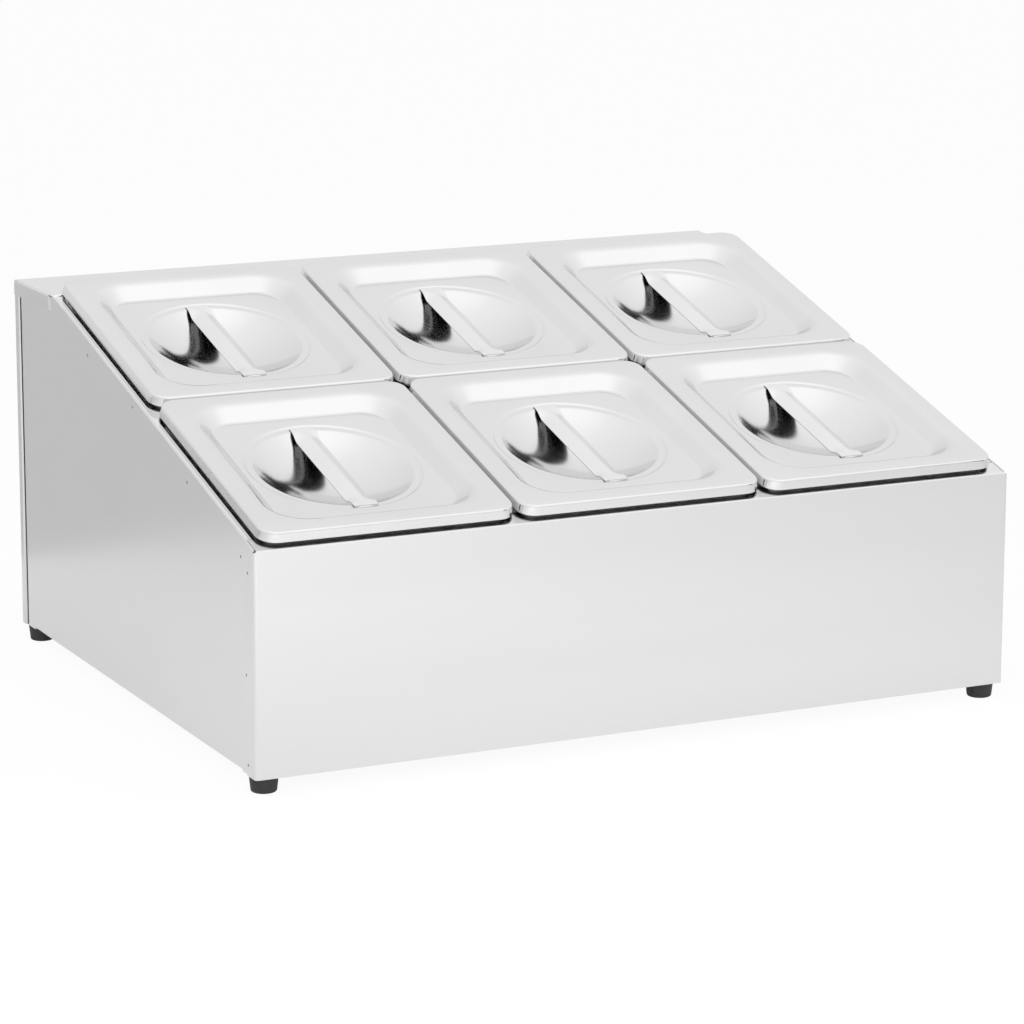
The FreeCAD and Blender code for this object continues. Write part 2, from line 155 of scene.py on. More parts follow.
class StrapSizes(bpy.types.PropertyGroup):
    """Sizes of one handle strap"""
    reach: length("Reach", "Half of the strap's length", 51 * MM)
    sheet: length("Sheet", "Thickness of the strap", 1 * MM)
    fall: length("Fall", "How far the strap's edges lie below its crest", 2.9 * MM)
    crest: length("Crest", "Half of the width over which the crest is rounded", 2.2 * MM)
    flat: length("Flat end", "Length of each flat end", 4 * MM)
    blend: length("Blend", "Length over which a flat end turns into the crest", 10 * MM)


class WeldSizes(bpy.types.PropertyGroup):
    """Sizes of the welds"""
    spot: length("Spot", "Radius of one spot weld", 0.95 * MM)
    rise: length("Rise", "How far a spot weld stands out of the sheet", 0.03 * MM)
    bead: length("Bead", "Radius of the weld beads at the ends of the straps", 0.6 * MM)


class Finishes(bpy.types.PropertyGroup):
    """Colours of the finishes"""
    satin: colour("Satin steel", "Stainless sheet of the holder", "#E3E3E4")
    shelf: colour("Shelf steel", "Stainless sheet of the back and its shelf", "#E2E2E3")
    polished: colour("Polished steel", "Stainless sheet of the lids", "#DEDEDE")
    strap: colour("Strap steel", "Stainless sheet of the handle straps", "#E6E6E6")
    # Painted shade: the straps' undersides are the same steel as their tops, drawn darker so that they and their
    # reflection in the dish look shaded.
    strap_underside_shade: colour("Strap underside", "Painted shade on the undersides of the handle straps", "#7C7C7D")
    drawn: colour("Drawn steel", "Stainless sheet of the pans", "#D2D2D3")
    scorched: colour("Scorched steel", "Heat-tinted steel of a spot weld", "#8E8C8A")
    rubber: colour("Rubber", "Black rubber of the feet", "#2B2B2C")
    plated: colour("Plated steel", "Zinc plate on the foot screws", "#B9BABD")
    floor: colour("Floor", "Pale studio floor", "#FAFAFA")
    card: colour("Card", "Grey card behind the holder, seen only in its reflections", "#D8D8D8")
    flag: colour("Flag", "Dark cloth behind the camera, seen only in reflections", "#1A1A1A")


class View(bpy.types.PropertyGroup):
    """Where the camera stands"""
    place: bpy.props.FloatVectorProperty(name="Place", description="The camera's place", size=3, subtype="XYZ",
                                         unit="LENGTH", default=(-1.0628, -2.2189, 0.6557))
    turn: bpy.props.FloatProperty(name="Turn", description="The camera's turn about the vertical",
                                  subtype="ANGLE", default=math.radians(-25.79))
    rise: bpy.props.FloatProperty(name="Rise", description="How far the camera looks down",
                                  subtype="ANGLE", default=math.radians(12.16))
    roll: bpy.props.FloatProperty(name="Roll", description="The camera's roll",
                                  subtype="ANGLE", default=math.radians(0.105))
    lens: bpy.props.FloatProperty(name="Lens", description="Focal length in millimetres", default=138.91)
    shift: bpy.props.FloatVectorProperty(name="Shift", description="Shift of the frame, as a share of its width",
                                         size=2, default=(0.0002, -0.0356))


def node(tree, kind, inputs=None, **settings):
    """One new node, with its settings and with values or links for its inputs."""
    made = tree.nodes.new(kind)
    for key, value in settings.items():
        setattr(made, key, value)
    for key, value in (inputs or {}).items():
        if isinstance(value, bpy.types.NodeSocket):
            tree.links.new(value, made.inputs[key])
        else:
            made.inputs[key].default_value = value
    return made


def new_material(name):
    """An empty material, with its tree, a Principled shader and the object's own coordinates."""
    material = bpy.data.materials.new(name)
    material.use_nodes = True
    tree = material.node_tree
    tree.nodes.clear()
    shader = node(tree, "ShaderNodeBsdfPrincipled")
    node(tree, "ShaderNodeOutputMaterial", {"Surface": shader.outputs[0]})
    place = node(tree, "ShaderNodeTexCoord").outputs["Object"]
    return material, tree, shader, place


def satin_sheet(name, base, grain, roughness, cloud_share, cloud_run):
    """Stainless sheet, belt-ground: fine lines along one direction, with broad soft clouds where it was wiped.

    The real lines are about a tenth of a millimetre apart. They are drawn a millimetre apart so that they show.
    cloud_share is how much a cloud darkens the sheet, and cloud_run how far it is drawn out along the lines.
    """
    material, tree, shader, place = new_material(name)
    line = 1.0 * MM
    run = 60 * MM
    cloud = 130 * MM
    scale = [1 / (run if axis == grain else line) for axis in range(3)]
    cloud_scale = [1 / (cloud * cloud_run if axis == grain else cloud / cloud_run) for axis in range(3)]
    lines = node(tree, "ShaderNodeTexNoise", {
        "Vector": node(tree, "ShaderNodeMapping", {"Vector": place, "Scale": scale}).outputs[0],
        "Scale": 1.0, "Detail": 2.0}).outputs[0]
    clouds = node(tree, "ShaderNodeTexNoise", {
        "Vector": node(tree, "ShaderNodeMapping", {"Vector": place, "Scale": cloud_scale}).outputs[0],
        "Scale": 1.0, "Detail": 1.5}).outputs[0]
    shade = node(tree, "ShaderNodeMath", {
        0: node(tree, "ShaderNodeMapRange", {"Value": lines, "To Min": 0.985, "To Max": 1.0}).outputs[0],
        1: node(tree, "ShaderNodeMapRange", {"Value": clouds, "From Min": 0.3, "From Max": 0.7,
                                              "To Min": 1.0 - cloud_share, "To Max": 1.0}).outputs[0],
    }, operation="MULTIPLY").outputs[0]
    tint = node(tree, "ShaderNodeVectorMath", {0: list(base)[:3], "Scale": shade}, operation="SCALE").outputs[0]
    tree.links.new(tint, shader.inputs["Base Color"])
    rough = node(tree, "ShaderNodeMapRange", {
        "Value": lines, "To Min": roughness * 0.85, "To Max": roughness * 1.15})
    tree.links.new(rough.outputs[0], shader.inputs["Roughness"])
    bump = node(tree, "ShaderNodeBump", {"Height": lines, "Strength": 0.05, "Distance": 0.05 * MM})
    tree.links.new(bump.outputs[0], shader.inputs["Normal"])
    shader.inputs["Metallic"].default_value = 1.0
    return material


def pressed_sheet(name, base, roughness, underside=None):
    """Stainless sheet after pressing and polishing: near mirror, with faint drawing waves and rubbed patches.

    An underside colour is painted shade: it darkens the faces that look away from the lift, under the strap.
    """
    material, tree, shader, place = new_material(name)
    wave = 45 * MM
    rub = 20 * MM
    waves = node(tree, "ShaderNodeTexNoise", {"Vector": place, "Scale": 1 / wave, "Detail": 1.0}).outputs[0]
    rubbed = node(tree, "ShaderNodeTexNoise", {"Vector": place, "Scale": 1 / rub, "Detail": 1.0}).outputs[0]
    rough = node(tree, "ShaderNodeMapRange", {"Value": rubbed, "From Min": 0.3, "From Max": 0.7,
                                              "To Min": roughness * 0.9, "To Max": roughness * 1.1})
    tree.links.new(rough.outputs[0], shader.inputs["Roughness"])
    shade = node(tree, "ShaderNodeMapRange", {"Value": waves, "From Min": 0.3, "From Max": 0.7,
                                              "To Min": 0.975, "To Max": 1.0})
    tint = node(tree, "ShaderNodeVectorMath", {0: list(base)[:3], "Scale": shade.outputs[0]}, operation="SCALE")
    face_colour = tint.outputs[0]
    if underside is not None:
        # Painted shade: faces that look away from the lift take the darker underside colour.
        facing = node(tree, "ShaderNodeVectorMath", {
            0: node(tree, "ShaderNodeNewGeometry").outputs["True Normal"], 1: LIFT}, operation="DOT_PRODUCT")
        below = node(tree, "ShaderNodeMapRange", {
            "Value": facing.outputs["Value"], "From Min": 0.1, "From Max": -0.3})
        face_colour = node(tree, "ShaderNodeMix", {0: below.outputs[0], "A": face_colour, "B": underside},
                           data_type="RGBA").outputs["Result"]
    tree.links.new(face_colour, shader.inputs["Base Color"])
    bump = node(tree, "ShaderNodeBump", {"Height": waves, "Strength": 0.06, "Distance": 0.4 * MM})
    tree.links.new(bump.outputs[0], shader.inputs["Normal"])
    shader.inputs["Metallic"].default_value = 1.0
    return material


def moulded_rubber(name, base):
    """Moulded black rubber: a dull, slightly dusty skin with a fine pebble."""
    material, tree, shader, place = new_material(name)
    pebble = 0.9 * MM
    dust = 6 * MM
    grains = node(tree, "ShaderNodeTexNoise", {"Vector": place, "Scale": 1 / pebble, "Detail": 2.0}).outputs[0]
    dusty = node(tree, "ShaderNodeTexNoise", {"Vector": place, "Scale": 1 / dust, "Detail": 2.0}).outputs[0]
    tint = node(tree, "ShaderNodeVectorMath", {
        0: list(base)[:3],
        "Scale": node(tree, "ShaderNodeMapRange", {"Value": dusty, "To Min": 0.8, "To Max": 1.35}).outputs[0],
    }, operation="SCALE")
    tree.links.new(tint.outputs[0], shader.inputs["Base Color"])
    bump = node(tree, "ShaderNodeBump", {"Height": grains, "Strength": 0.25, "Distance": 0.1 * MM})
    tree.links.new(bump.outputs[0], shader.inputs["Normal"])
    shader.inputs["Roughness"].default_value = 0.62
    return material


def facet_smoother():
    """A node tree that joins a CAD mesh's loose triangles and shades its bends smooth, with sharp folds kept."""
    tree = bpy.data.node_groups.get("Smooth bends")
    if tree:
        return tree
    tree = bpy.data.node_groups.new("Smooth bends", "GeometryNodeTree")
    tree.interface.new_socket("Geometry", in_out="INPUT", socket_type="NodeSocketGeometry")
    tree.interface.new_socket("Geometry", in_out="OUTPUT", socket_type="NodeSocketGeometry")
    given = node(tree, "NodeGroupInput").outputs[0]
    joined = node(tree, "GeometryNodeMergeByDistance", {"Geometry": given, "Distance": 0.002 * MM}).outputs[0]
    smooth = node(tree, "GeometryNodeSetShadeSmooth", {"Geometry": joined}).outputs[0]
    fold = node(tree, "ShaderNodeMath", {0: node(tree, "GeometryNodeInputMeshEdgeAngle").outputs[0],
                                         1: math.radians(28)}, operation="GREATER_THAN").outputs[0]
    sharp = node(tree, "GeometryNodeSetShadeSmooth", {"Geometry": smooth, "Selection": fold, "Shade Smooth": False},
                 domain="EDGE").outputs[0]
    node(tree, "NodeGroupOutput", {0: sharp})
    return tree


def dress(names, material):
    """Gives CAD nodes a finish, and shades their bends smooth."""
    for name in names:
        body = NODES[name]
        body.data.materials.clear()
        body.data.materials.append(material)
        smoother = body.modifiers.new("Smooth bends", "NODES")
        smoother.node_group = facet_smoother()
        even = body.modifiers.new("Even shading", "WEIGHTED_NORMAL")
        even.keep_sharp = True


def add_piece(name, points, faces, material, body, stands_for=()):
    """A finished piece, its place in its mesh, riding on a body."""
    mesh = bpy.data.meshes.new(name)
    mesh.from_pydata(points, [], faces)
    mesh.validate()
    mesh.shade_smooth()
    mesh.set_sharp_from_angle(angle=math.radians(50))
    mesh.materials.append(material)
    piece = bpy.data.objects.new(name, mesh)
    bpy.context.scene.collection.objects.link(piece)
    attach(piece, body)
    if stands_for:
        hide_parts(*stands_for)
    return piece


def rounded_ring(half, radius, level, steps):
    """Points around a rounded rectangle, anticlockwise from the foot of its first corner."""
    points = []
    for quarter in range(4):
        sx, sy = ((1, 1), (-1, 1), (-1, -1), (1, -1))[quarter]
        centre = Vector((sx * (half[0] - radius), sy * (half[1] - radius), level))
        start = quarter * math.pi / 2
        for step in range(steps + 1):
            angle = start + step / steps * math.pi / 2
            points.append(centre + radius * Vector((math.cos(angle), math.sin(angle), 0)))
    full = []
    for first, second in zip(points, points[1:] + points[:1]):
        full.append(first)
        gap = (second - first).length
        if gap > radius * math.pi / steps:
            full += [first.lerp(second, step / SIDE_STEPS) for step in range(1, SIDE_STEPS)]
    return full


def bend(radius, angle):
    """Run and drop of the points along a bend that turns downwards from level."""
    turns = [angle * step / BEND_STEPS for step in range(BEND_STEPS + 1)]
    return [(radius * math.sin(turn), radius * (1 - math.cos(turn))) for turn in turns]


def lid_rings(sizes, half):
    """Rings of points over a lid's upper face, from the skirt's foot to the middle of the dish."""
    rings = []

    def ring(inset, level, corner):
        size = (half[0] - inset, half[1] - inset)
        rings.append(rounded_ring(size, corner, level, CORNER_STEPS))

    ring(0, -sizes.skirt, sizes.corner)
    # The edge's arc leaves the flared skirt and ends level, on the rim.
    lean = math.atan2(sizes.flare, sizes.skirt)
    centre = sizes.flare * (1 - sizes.edge / sizes.skirt) + sizes.edge / math.cos(lean)
    for step in range(BEND_STEPS + 1):
        turn = lean + step / BEND_STEPS * (math.pi / 2 - lean)
        inset = centre - sizes.edge * math.cos(turn)
        ring(inset, sizes.edge * (math.sin(turn) - 1), sizes.corner - inset)
    slant = math.atan2(sizes.recess_depth, sizes.recess_run)
    reach = sizes.recess_bend * math.tan(slant / 2)
    mouth = sizes.rim - reach
    corner = sizes.recess_corner + reach
    for run, drop in bend(sizes.recess_bend, slant):
        ring(mouth + run, -drop, corner - run)
    reach = sizes.foot_bend * math.tan(slant / 2)
    foot = sizes.rim + sizes.recess_run + reach
    corner = sizes.recess_corner - sizes.recess_run - reach
    for run, drop in reversed(bend(sizes.foot_bend, slant)):
        ring(foot - run, drop - sizes.recess_depth, corner + run)
    angles = [math.atan2(point.y, point.x) for point in rings[-1]]

    def circle(radius, level):
        rings.append([Vector((radius * math.cos(a), radius * math.sin(a), level)) for a in angles])

    floor = -sizes.recess_depth
    ledge = floor - sizes.ledge_drop
    for step in range(LEDGE_STEPS + 1):
        share = step / LEDGE_STEPS
        radius = sizes.dish_radius + sizes.ledge + sizes.ledge_step * (0.5 - share)
        circle(radius, floor - sizes.ledge_drop * share ** 2 * (3 - 2 * share))
    # The lip's arc meets the ledge and, inside it, the bowl's sphere.
    bowl_depth = sizes.dish_depth - sizes.ledge_drop
    bowl = (sizes.dish_radius ** 2 + bowl_depth ** 2) / (2 * bowl_depth)
    centre_level = ledge - sizes.dish_lip
    sphere_level = floor - sizes.dish_depth + bowl
    lip_radius = math.sqrt((bowl + sizes.dish_lip) ** 2 - (sphere_level - centre_level) ** 2)
    lip_turn = math.atan2(lip_radius, sphere_level - centre_level)
    for step in range(BEND_STEPS + 1):
        turn = lip_turn * step / BEND_STEPS
        circle(lip_radius - sizes.dish_lip * math.sin(turn), centre_level + sizes.dish_lip * math.cos(turn))
    for step in range(1, BOWL_STEPS):
        turn = lip_turn * (1 - step / BOWL_STEPS)
        circle(bowl * math.sin(turn), sphere_level - bowl * math.cos(turn))
    return rings, Vector((0, 0, floor - sizes.dish_depth))


def lid_shell(sizes, half):
    """Points and faces of one lid, upper face and underside, about the middle of its top."""
    rings, middle = lid_rings(sizes, half)
    count = len(rings[0])
    shoulder = sizes.sheet + sizes.edge / 2
    under = []
    for level in (sizes.skirt, shoulder):
        inset = sizes.sheet + sizes.flare * (1 - level / sizes.skirt)
        inner = tuple(size - inset for size in half)
        under.append(rounded_ring(inner, sizes.corner - inset, -level, CORNER_STEPS))
    drop = Vector((0, 0, -sizes.sheet))
    # The skirt and its edge have an underside of their own, and the rest lies one sheet below the upper face.
    under += [[point + drop for point in ring] for ring in rings[BEND_STEPS + 1:]]
    points = [point for ring in rings for point in ring] + [middle]
    faces = []
    for level in range(len(rings) - 1):
        for i in range(count):
            j = (i + 1) % count
            faces.append((level * count + i, level * count + j, (level + 1) * count + j, (level + 1) * count + i))
    last = (len(rings) - 1) * count
    faces += [(last + i, last + (i + 1) % count, len(points) - 1) for i in range(count)]
    base = len(points)
    points += [point for ring in under for point in ring] + [middle + drop]
    for level in range(len(under) - 1):
        for i in range(count):
            j = (i + 1) % count
            start = base + level * count
            faces.append((start + j, start + i, start + count + i, start + count + j))
    last = base + (len(under) - 1) * count
    faces += [(last + (i + 1) % count, last + i, len(points) - 1) for i in range(count)]
    faces += [((i + 1) % count, i, base + i, base + (i + 1) % count) for i in range(count)]
    return points, faces


def strap_shell(sizes, half_width):
    """Points and faces of one strap about the middle of its top: flat ends, and a crest between them."""
    round_edge = sizes.sheet / 2
    flat_half = half_width - round_edge
    steep = sizes.fall / (math.hypot(flat_half, sizes.crest) - sizes.crest)
    points = []
    for station in range(STRAP_STATIONS + 1):
        along = sizes.reach * (2 * station / STRAP_STATIONS - 1)
        share = (sizes.reach - sizes.flat - abs(along)) / sizes.blend
        share = min(max(share, 0), 1)
        share = share ** 2 * (3 - 2 * share)

        def drop(across):
            return share * steep * (math.hypot(across, sizes.crest) - sizes.crest)

        steps = [flat_half * (2 * step / STRAP_STEPS - 1) for step in range(STRAP_STEPS + 1)]
        section = [(across, -drop(across)) for across in steps]
        for step in range(1, EDGE_STEPS):
            turn = math.pi * step / EDGE_STEPS
            section.append((flat_half + round_edge * math.sin(turn),
                            round_edge * (math.cos(turn) - 1) - drop(flat_half)))
        section += [(across, -sizes.sheet - drop(across)) for across in reversed(steps)]
        for step in range(1, EDGE_STEPS):
            turn = math.pi * step / EDGE_STEPS
            section.append((-flat_half - round_edge * math.sin(turn),
                            -round_edge * (math.cos(turn) + 1) - drop(flat_half)))
        points += [Vector((across, along, level)) for across, level in section]
    count = len(points) // (STRAP_STATIONS + 1)
    faces = [tuple(range(count)), tuple(range(len(points) - 1, len(points) - 1 - count, -1))]
    for station in range(STRAP_STATIONS):
        for i in range(count):
            start = station * count
            j = (i + 1) % count
            faces.append((start + j, start + i, start + count + i, start + count + j))
    return points, faces


def weld_maker():
    """A node tree that sets a flattened bead on every point, long and wide as asked."""
    tree = bpy.data.node_groups.get("Welds")
    if tree:
        return tree
    tree = bpy.data.node_groups.new("Welds", "GeometryNodeTree")
    tree.interface.new_socket("Geometry", in_out="INPUT", socket_type="NodeSocketGeometry")
    tree.interface.new_socket("Size", in_out="INPUT", socket_type="NodeSocketVector")
    tree.interface.new_socket("Turn", in_out="INPUT", socket_type="NodeSocketRotation")
    tree.interface.new_socket("Material", in_out="INPUT", socket_type="NodeSocketMaterial")
    tree.interface.new_socket("Geometry", in_out="OUTPUT", socket_type="NodeSocketGeometry")
    given = node(tree, "NodeGroupInput")
    ball = node(tree, "GeometryNodeMeshUVSphere", {"Segments": 20, "Rings": 10, "Radius": 1.0}).outputs["Mesh"]
    smooth = node(tree, "GeometryNodeSetShadeSmooth", {"Geometry": ball}).outputs[0]
    welds = node(tree, "GeometryNodeInstanceOnPoints", {
        "Points": given.outputs["Geometry"], "Instance": smooth, "Rotation": given.outputs["Turn"],
        "Scale": given.outputs["Size"]}).outputs[0]
    real = node(tree, "GeometryNodeRealizeInstances", {"Geometry": welds}).outputs[0]
    painted = node(tree, "GeometryNodeSetMaterial", {"Geometry": real, "Material": given.outputs["Material"]})
    node(tree, "NodeGroupOutput", {0: painted.outputs[0]})
    return tree


def add_welds(name, points, size, turn, material, body):
    """Welds of one size at the points, as one piece that rides on a body."""
    mesh = bpy.data.meshes.new(name)
    mesh.from_pydata(points, [], [])
    maker = bpy.data.objects.new(name, mesh)
    bpy.context.scene.collection.objects.link(maker)
    modifier = maker.modifiers.new("Welds", "NODES")
    modifier.node_group = weld_maker()
    sockets = {item.name: item.identifier for item in modifier.node_group.interface.items_tree
               if item.in_out == "INPUT"}
    modifier[sockets["Size"]] = size
    modifier[sockets["Turn"]] = turn
    modifier[sockets["Material"]] = material
    graph = bpy.context.evaluated_depsgraph_get()
    maker.data = bpy.data.meshes.new_from_object(maker.evaluated_get(graph))
    maker.modifiers.remove(modifier)
    bpy.data.meshes.remove(mesh)
    maker.data.name = name
    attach(maker, body)
    return maker


class PANHOLDER_OT_body(bpy.types.Operator):
    """Finishes the folded panels, rails and crossbar of the holder"""
    bl_idname = "panholder.body"
    bl_label = "Holder body"

    def execute(self, context):
        finish = context.scene.panholder_finishes
        front = satin_sheet("Satin stainless, ground along the panel", finish.satin, ACROSS,
                            roughness=0.2, cloud_share=0.035, cloud_run=3.0)
        shelf = satin_sheet("Satin stainless, ground along the shelf", finish.shelf, ACROSS,
                            roughness=0.2, cloud_share=0.035, cloud_run=3.0)
        side = satin_sheet("Satin stainless, ground along the side", finish.satin, ALONG,
                           roughness=0.22, cloud_share=0.02, cloud_run=1.0)
        rail = satin_sheet("Satin stainless, rails", finish.satin, ALONG,
                           roughness=0.11, cloud_share=0.02, cloud_run=1.0)
        dress(["front_panel"], front)
        dress(["back_panel"], shelf)
        dress(["left_side_panel", "right_side_panel"], side)
        dress(["left_pan_rail", "right_pan_rail", "row_crossbar"], rail)
        return {"FINISHED"}


class PANHOLDER_OT_welds(bpy.types.Operator):
    """Sets the spot welds in the sides, the tack welds at the shelf and the beads at the straps' ends"""
    bl_idname = "panholder.welds"
    bl_label = "Welds"

    def execute(self, context):
        finish = context.scene.panholder_finishes
        sizes = context.scene.panholder_welds
        scorched = pressed_sheet("Heat-tinted spot weld", finish.scorched, 0.35)
        bright = pressed_sheet("Ground weld bead", finish.satin, 0.25)
        level = Vector((0, 0, 0))
        front = world_box("front_panel")[0]
        wall = world_box("left_side_panel")[0].x
        back = world_box("back_panel")[1]
        slope_level = slope_box("left_pan_rail")[1].z
        # Where the slope's plane meets the front face, measured along the slope
        start = (front.y - LIFT.y * slope_level) / LIFT.z
        rows = [TILT @ Vector((wall, start + along * MM, slope_level - below * MM)) for along, below in SLOPE_SPOTS]
        seams = [front + Vector((0, along, up)) * MM for along, up in RETURN_SPOTS]
        tacks = [Vector((-back.x, back.y - ahead * MM, back.z - TACK_DROP * MM)) for ahead in TAB_TACKS]
        flat = Vector((sizes.rise, sizes.spot, sizes.spot))
        for side, sign in (("left", 1), ("right", -1)):
            mirror = Vector((sign, 1, 1))
            add_welds(side + "_spot_welds", [point * mirror for point in rows + seams], flat, level, scorched,
                      "holder")
            add_welds(side + "_tack_welds", [point * mirror for point in tacks], TACK_SIZE * MM, level, bright,
                      "holder")
        lid = context.scene.panholder_lid
        reach = context.scene.panholder_strap.reach
        for place in PLACES:
            low, high = slope_box(place + "_handle")
            seat = lid_seat(place) - Vector((0, 0, lid.recess_depth + lid.ledge_drop))
            ends = [TILT @ (seat + Vector((0, along, 0))) for along in (-reach, reach)]
            # A bead is a little shorter than the strap is wide.
            bead = Vector(((high.x - low.x) * 0.36, sizes.bead, sizes.bead))
            add_welds(place + "_strap_welds", ends, bead, TILT.to_euler(), bright, place + "_lid_body")
        return {"FINISHED"}


class PANHOLDER_OT_lids(bpy.types.Operator):
    """Presses the lids"""
    bl_idname = "panholder.lids"
    bl_label = "Lids"

    def execute(self, context):
        finish = context.scene.panholder_finishes
        steel = pressed_sheet("Polished stainless, pressed", finish.polished, 0.14)
        low, high = slope_box("front_left_lid")
        half = tuple((high - low)[axis] / 2 for axis in range(2))
        points, faces = lid_shell(context.scene.panholder_lid, half)
        for place in PLACES:
            seat = lid_seat(place)
            add_piece(place + "_pressed_lid", [TILT @ (seat + point) for point in points], faces, steel,
                      place + "_lid_body", [place + "_lid"])
        return {"FINISHED"}


class PANHOLDER_OT_straps(bpy.types.Operator):
    """Bends the handle straps"""
    bl_idname = "panholder.straps"
    bl_label = "Handle straps"

    def execute(self, context):
        finish = context.scene.panholder_finishes
        # The straps' undersides are drawn darker, as painted shade.
        steel = pressed_sheet("Polished stainless, strap", finish.strap, 0.14, finish.strap_underside_shade)
        lid = context.scene.panholder_lid
        sizes = context.scene.panholder_strap
        low, high = slope_box("front_left_handle")
        points, faces = strap_shell(sizes, (high.x - low.x) / 2)
        rise = Vector((0, 0, sizes.sheet - lid.recess_depth - lid.ledge_drop))
        for place in PLACES:
            seat = lid_seat(place) + rise
            add_piece(place + "_strap", [TILT @ (seat + point) for point in points], faces, steel,
                      place + "_lid_body", [place + "_handle"])
        return {"FINISHED"}


class PANHOLDER_OT_pans(bpy.types.Operator):
    """Finishes the deep-drawn pans"""
    bl_idname = "panholder.pans"
    bl_label = "Pans"

    def execute(self, context):
        finish = context.scene.panholder_finishes
        dress([place + "_pan" for place in PLACES], pressed_sheet("Deep-drawn stainless", finish.drawn, 0.24))
        return {"FINISHED"}


class PANHOLDER_OT_feet(bpy.types.Operator):
    """Finishes the rubber feet and their screws"""
    bl_idname = "panholder.feet"
    bl_label = "Feet"

    def execute(self, context):
        finish = context.scene.panholder_finishes
        dress([end + "_" + side + "_foot" for end in ("front", "rear") for side in ("left", "right")],
              moulded_rubber("Moulded black rubber", finish.rubber))
        dress(["foot_screws", "foot_washers", "foot_nuts"], pressed_sheet("Bright zinc plate", finish.plated, 0.3))
        return {"FINISHED"}


def plane(name, corners, material):
    """A flat piece of the stage."""
    mesh = bpy.data.meshes.new(name)
    mesh.from_pydata(corners, [], [(0, 1, 2, 3)])
    mesh.materials.append(material)
    made = bpy.data.objects.new(name, mesh)
    bpy.context.scene.collection.objects.link(made)
    return made


def studio_card(name, base, left, right, depth, low, high):
    """An upright card across the studio that shows only in reflections."""
    material, _, shader, _ = new_material(name)
    shader.inputs["Base Color"].default_value = base
    shader.inputs["Roughness"].default_value = 1.0
    corners = [(left, depth, low), (right, depth, low), (right, depth, high), (left, depth, high)]
    card = plane(name, corners, material)
    card.visible_camera = False
    card.visible_shadow = False
    card.visible_diffuse = False


def soft_box(name, place, target, size, watts):
    """A square soft light that points at a target and doesn't show in reflections."""
    data = bpy.data.lights.new(name, "AREA")
    data.shape = "SQUARE"
    data.size = size
    data.energy = watts
    lamp = bpy.data.objects.new(name, data)
    lamp.location = place
    aim = Vector(target) - Vector(place)
    lamp.rotation_euler = aim.to_track_quat("-Z", "Y").to_euler()
    lamp.visible_glossy = False
    bpy.context.scene.collection.objects.link(lamp)


def mirrored_ray(tree, path):
    """1 for a ray that was mirrored by metal or went through glass, and 0 for others."""
    return node(tree, "ShaderNodeMath", {0: path.outputs["Is Glossy Ray"], 1: path.outputs["Is Transmission Ray"]},
                operation="MAXIMUM").outputs[0]


def studio_world():
    """A white studio, which grows brighter overhead and towards the photographer. That shows in the metal."""
    world = bpy.data.worlds.new("White studio")
    world.use_nodes = True
    tree = world.node_tree
    tree.nodes.clear()
    way = node(tree, "ShaderNodeTexCoord").outputs["Generated"]
    # The lamps hang above and in front of the holder. The studio is darkest low behind it.
    lamps = node(tree, "ShaderNodeVectorMath", {0: way, 1: (0.2, -0.5, 0.84)},
                 operation="DOT_PRODUCT").outputs["Value"]
    wall = node(tree, "ShaderNodeMapRange", {"Value": lamps, "From Min": -0.18, "From Max": 0.8,
                                             "To Min": 0.89, "To Max": 1.15}).outputs[0]
    bank = node(tree, "ShaderNodeMapRange", {"Value": lamps, "From Min": 0.78, "From Max": 0.96,
                                             "To Min": 1.0, "To Max": 1.15}).outputs[0]
    shown = node(tree, "ShaderNodeMath", {0: wall, 1: bank}, operation="MULTIPLY").outputs[0]
    path = node(tree, "ShaderNodeLightPath")
    mirrored = mirrored_ray(tree, path)
    fill = node(tree, "ShaderNodeMix", {0: mirrored, "A": 0.58, "B": shown}).outputs[0]
    level = node(tree, "ShaderNodeMix", {0: path.outputs["Is Camera Ray"], "A": fill, "B": 1.0}).outputs[0]
    sky = node(tree, "ShaderNodeBackground", {"Color": (1, 1, 1, 1), "Strength": level})
    node(tree, "ShaderNodeOutputWorld", {"Surface": sky.outputs[0]})
    return world


def studio_floor(base):
    """A pale floor that keeps the object's shadow and is otherwise white to the camera."""
    material, tree, shader, _ = new_material("Pale studio floor")
    shader.inputs["Base Color"].default_value = base
    shader.inputs["Roughness"].default_value = 0.9
    # The camera sees white with a trace of the lit floor, which holds the shadow. The metal sees more of that floor.
    white = node(tree, "ShaderNodeEmission", {"Color": (1, 1, 1, 1), "Strength": 1.0})
    path = node(tree, "ShaderNodeLightPath")
    mirrored = node(tree, "ShaderNodeMath", {0: mirrored_ray(tree, path), 1: 0.36}, operation="MULTIPLY")
    seen = node(tree, "ShaderNodeMath", {0: path.outputs["Is Camera Ray"], 1: 0.94, 2: mirrored.outputs[0]},
                operation="MULTIPLY_ADD")
    mixed = node(tree, "ShaderNodeMixShader", {0: seen.outputs[0], 1: shader.outputs[0], 2: white.outputs[0]})
    tree.links.new(mixed.outputs[0], tree.get_output_node("ALL").inputs["Surface"])
    corners = [(x * FLOOR_REACH, y * FLOOR_REACH, 0) for x, y in ((-1, -1), (1, -1), (1, 1), (-1, 1))]
    plane("studio_floor", corners, material)


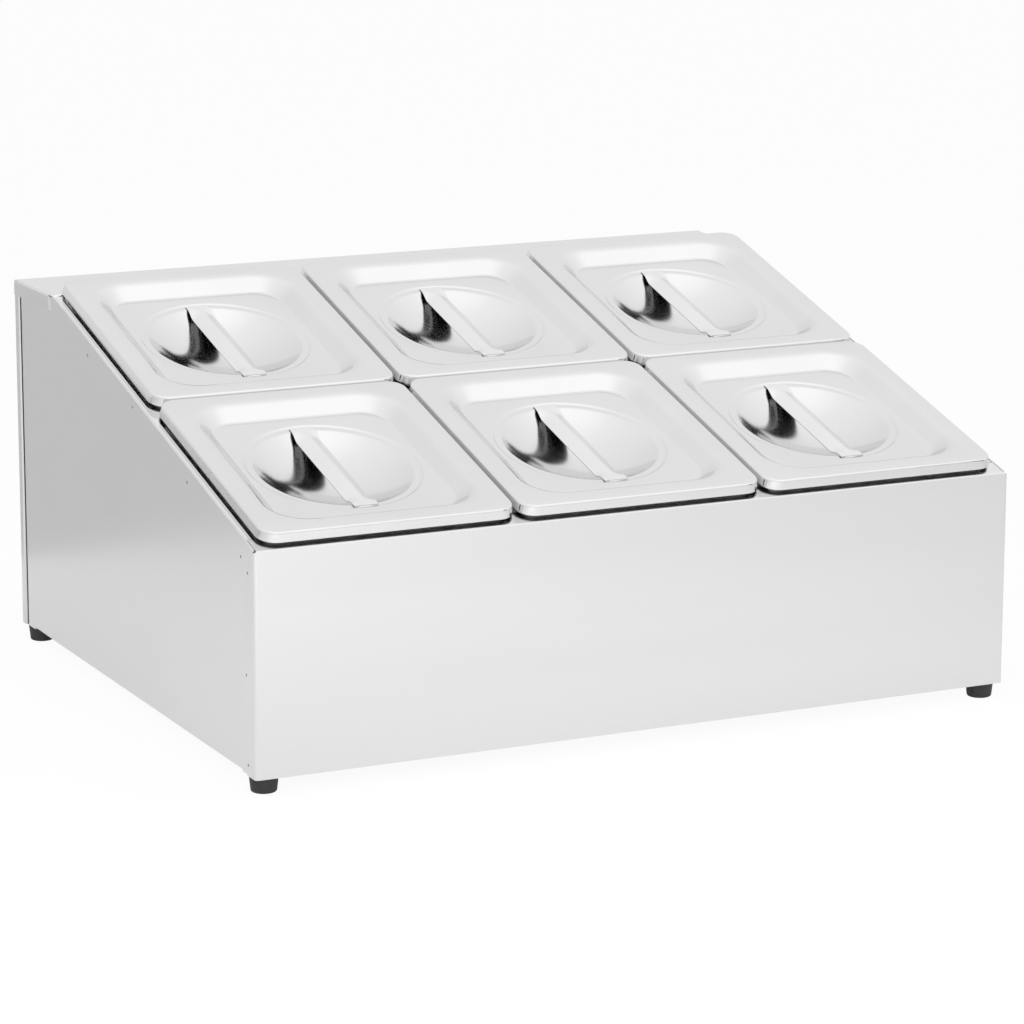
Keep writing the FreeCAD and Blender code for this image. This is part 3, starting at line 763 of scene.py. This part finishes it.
class PANHOLDER_OT_stage(bpy.types.Operator):
    """Sets the floor, the light and the camera"""
    bl_idname = "panholder.stage"
    bl_label = "Stage"

    def execute(self, context):
        scene = context.scene
        finish = scene.panholder_finishes
        scene.view_settings.view_transform = "Standard"
        scene.world = studio_world()
        studio_floor(finish.floor)
        studio_card("studio_card", finish.card, left=-3, right=-0.3, depth=0.42, low=0, high=0.2)
        studio_card("studio_flag", finish.flag, left=2.9, right=8, depth=-4.2, low=0.45, high=2.6)
        for lamp in SOFT_BOXES:
            soft_box(*lamp)
        view = scene.panholder_view
        sin, cos = math.sin, math.cos
        back = Vector((sin(view.turn) * cos(view.rise), -cos(view.turn) * cos(view.rise), sin(view.rise)))
        right = Vector((cos(view.turn), sin(view.turn), 0))
        up = back.cross(right)
        tilted_right = right * cos(view.roll) + up * sin(view.roll)
        tilted_up = up * cos(view.roll) - right * sin(view.roll)
        data = bpy.data.cameras.new("Photograph view")
        data.sensor_width = 36.0
        data.lens = view.lens
        data.shift_x, data.shift_y = view.shift
        data.clip_end = 50
        camera = bpy.data.objects.new("Photograph view", data)
        turn = Matrix((tilted_right, tilted_up, back)).transposed()
        camera.matrix_world = Matrix.Translation(view.place) @ turn.to_4x4()
        scene.collection.objects.link(camera)
        scene.camera = camera
        return {"FINISHED"}


class PANHOLDER_PT_panel(bpy.types.Panel):
    """Lists the pieces of the pan holder"""
    bl_label = "Pan Holder"
    bl_idname = "PANHOLDER_PT_panel"
    bl_space_type = "VIEW_3D"
    bl_region_type = "UI"
    bl_category = "Pan Holder"

    def draw(self, context):
        for operator in OPERATORS:
            self.layout.operator(operator.bl_idname)


OPERATORS = (PANHOLDER_OT_body, PANHOLDER_OT_welds, PANHOLDER_OT_lids, PANHOLDER_OT_straps, PANHOLDER_OT_pans,
             PANHOLDER_OT_feet, PANHOLDER_OT_stage)
GROUPS = {"panholder_lid": LidSizes, "panholder_strap": StrapSizes, "panholder_welds": WeldSizes,
          "panholder_finishes": Finishes, "panholder_view": View}


def register():
    for group in GROUPS.values():
        bpy.utils.register_class(group)
    for operator in OPERATORS:
        bpy.utils.register_class(operator)
    bpy.utils.register_class(PANHOLDER_PT_panel)
    for name, group in GROUPS.items():
        setattr(bpy.types.Scene, name, bpy.props.PointerProperty(type=group))


def unregister():
    for name in GROUPS:
        delattr(bpy.types.Scene, name)
    bpy.utils.unregister_class(PANHOLDER_PT_panel)
    for operator in reversed(OPERATORS):
        bpy.utils.unregister_class(operator)
    for group in reversed(list(GROUPS.values())):
        bpy.utils.unregister_class(group)


def main():
    register()
    for operator in OPERATORS:
        area, name = operator.bl_idname.split(".")
        getattr(getattr(bpy.ops, area), name)()


if __name__ == "__main__":
    main()
